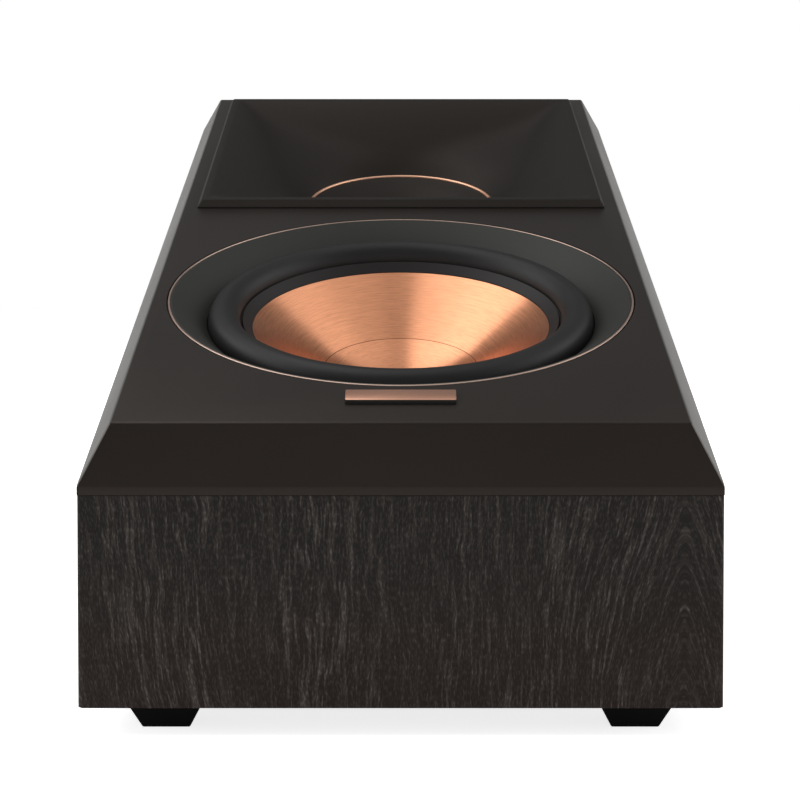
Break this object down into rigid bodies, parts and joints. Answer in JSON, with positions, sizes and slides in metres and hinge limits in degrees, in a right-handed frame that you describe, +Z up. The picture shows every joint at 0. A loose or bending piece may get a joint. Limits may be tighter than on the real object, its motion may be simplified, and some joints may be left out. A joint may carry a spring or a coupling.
{
  "type": "surround speaker",
  "caption": "Wedge-shaped up-firing surround speaker with a wood-veneered cabinet, a tilted bevelled baffle, a spun metal woofer and a square horn.",
  "frame": {"origin": "centre of the bounding box on the floor plane, under the soles of the feet", "axes": "+Z up, -Y the front panel, +Y the rear panel with the terminals, +X to the right seen from the front"},
  "size_m": [0.175, 0.3274, 0.2009],
  "materials": {
    "veneer": "satin",
    "baffle_lacquer": "satin",
    "raw_board": "matte",
    "wool": "matte",
    "foot_rubber": "matte",
    "gasket_foam": "matte",
    "surround_rubber": "satin",
    "black_screw": "satin",
    "basket_metal": "matte",
    "motor_steel": "satin",
    "ferrite": "matte",
    "bezel_plastic": "satin",
    "horn_plastic": "satin",
    "chassis_plastic": "matte",
    "accent_copper": "satin",
    "spun_copper": "brushed",
    "dome_metal": "satin",
    "edge_cloth": "matte",
    "spider_cloth": "matte",
    "former_film": "gloss",
    "winding": "gloss",
    "terminal_board": "matte",
    "nylon": "satin",
    "circuit_board": "satin",
    "capacitor_wrap": "gloss",
    "ceramic": "matte",
    "cup_plastic": "satin",
    "plated_brass": "gloss",
    "red_cap": "gloss",
    "black_cap": "gloss",
    "switch_steel": "satin",
    "switch_nub": "satin",
    "wire_insulation": "satin"
  },
  "bodies": {
    "cabinet": {"front_panel": "veneer", "left_panel": "veneer", "right_panel": "veneer", "bottom_panel": "veneer", "rear_panel": "veneer", "baffle": "baffle_lacquer", "cabinet_brace": "raw_board", "damping_wool": "wool", "foot_front_left": "foot_rubber", "foot_front_right": "foot_rubber", "foot_rear_left": "foot_rubber", "foot_rear_right": "foot_rubber", "foot_screws": "black_screw", "woofer_basket": "basket_metal", "driver_gaskets": "gasket_foam", "woofer_bezel": "bezel_plastic", "accent_ring": "accent_copper", "woofer_surround": "surround_rubber", "spider": "spider_cloth", "front_plate": "motor_steel", "magnet": "ferrite", "pole_yoke": "motor_steel", "woofer_screws": "black_screw", "woofer_terminals": "terminal_board", "horn": "horn_plastic", "horn_chassis": "chassis_plastic", "horn_screws": "black_screw", "throat_ring": "accent_copper", "horn_throat": "horn_plastic", "phase_plug": "horn_plastic", "tweeter_edge": "edge_cloth", "tweeter_plate": "motor_steel", "tweeter_magnet": "ferrite", "tweeter_yoke": "motor_steel", "tweeter_chamber": "chassis_plastic", "board_pillars": "nylon", "crossover_board": "circuit_board", "crossover_coils": "winding", "crossover_capacitors": "capacitor_wrap", "crossover_resistors": "ceramic", "terminal_cup": "cup_plastic", "rear_screws": "black_screw", "post_red": "plated_brass", "post_black": "plated_brass", "post_nuts": "plated_brass", "switch_body": "switch_steel", "keyhole_plate": "switch_steel", "wiring": "wire_insulation", "badge_bar": "accent_copper"},
    "woofer_diaphragm": {"woofer_cone": "spun_copper", "dust_cap": "spun_copper", "coil_former": "former_film", "voice_coil": "winding"},
    "tweeter_diaphragm": {"tweeter_dome": "dome_metal", "tweeter_coil": "winding"},
    "bush_red": {"cap_bush_red": "plated_brass"},
    "knob_red": {"cap_red": "red_cap"},
    "bush_black": {"cap_bush_black": "plated_brass"},
    "knob_black": {"cap_black": "black_cap"},
    "mode_slider": {"switch_slider": "switch_nub"}
  },
  "joints": [
    {"name": "woofer_travel", "type": "slide", "parent": "cabinet", "child": "woofer_diaphragm", "axis": [0, -0.342, 0.9397], "range_m": [-0.004, 0.004], "stiffness_N_per_m": 1000, "deforming": ["woofer_surround", "spider"]},
    {"name": "tweeter_travel", "type": "slide", "parent": "cabinet", "child": "tweeter_diaphragm", "axis": [0, -0.342, 0.9397], "range_m": [-0.0003, 0.0003], "stiffness_N_per_m": 500, "deforming": ["tweeter_edge"]},
    {"name": "cap_red_advance", "type": "slide", "parent": "cabinet", "child": "bush_red", "axis": [0, 1, 0], "range_m": [0, 0.0045]},
    {"name": "cap_red_turn", "type": "hinge", "parent": "bush_red", "child": "knob_red", "pos_m": [0.0095, 0.14975, 0.051], "axis": [0, 1, 0], "range_deg": [0, 1100]},
    {"name": "cap_black_advance", "type": "slide", "parent": "cabinet", "child": "bush_black", "axis": [0, 1, 0], "range_m": [0, 0.0045]},
    {"name": "cap_black_turn", "type": "hinge", "parent": "bush_black", "child": "knob_black", "pos_m": [-0.0095, 0.14975, 0.051], "axis": [0, 1, 0], "range_deg": [0, 1100]},
    {"name": "mode_switch", "type": "slide", "parent": "cabinet", "child": "mode_slider", "axis": [-1, 0, 0], "range_m": [0, 0.003]}
  ],
  "couplings": [
    {"joint": "cap_red_turn", "follows": "cap_red_advance", "rad_per_m": 4188.8},
    {"joint": "cap_black_turn", "follows": "cap_black_advance", "rad_per_m": 4188.8}
  ]
}
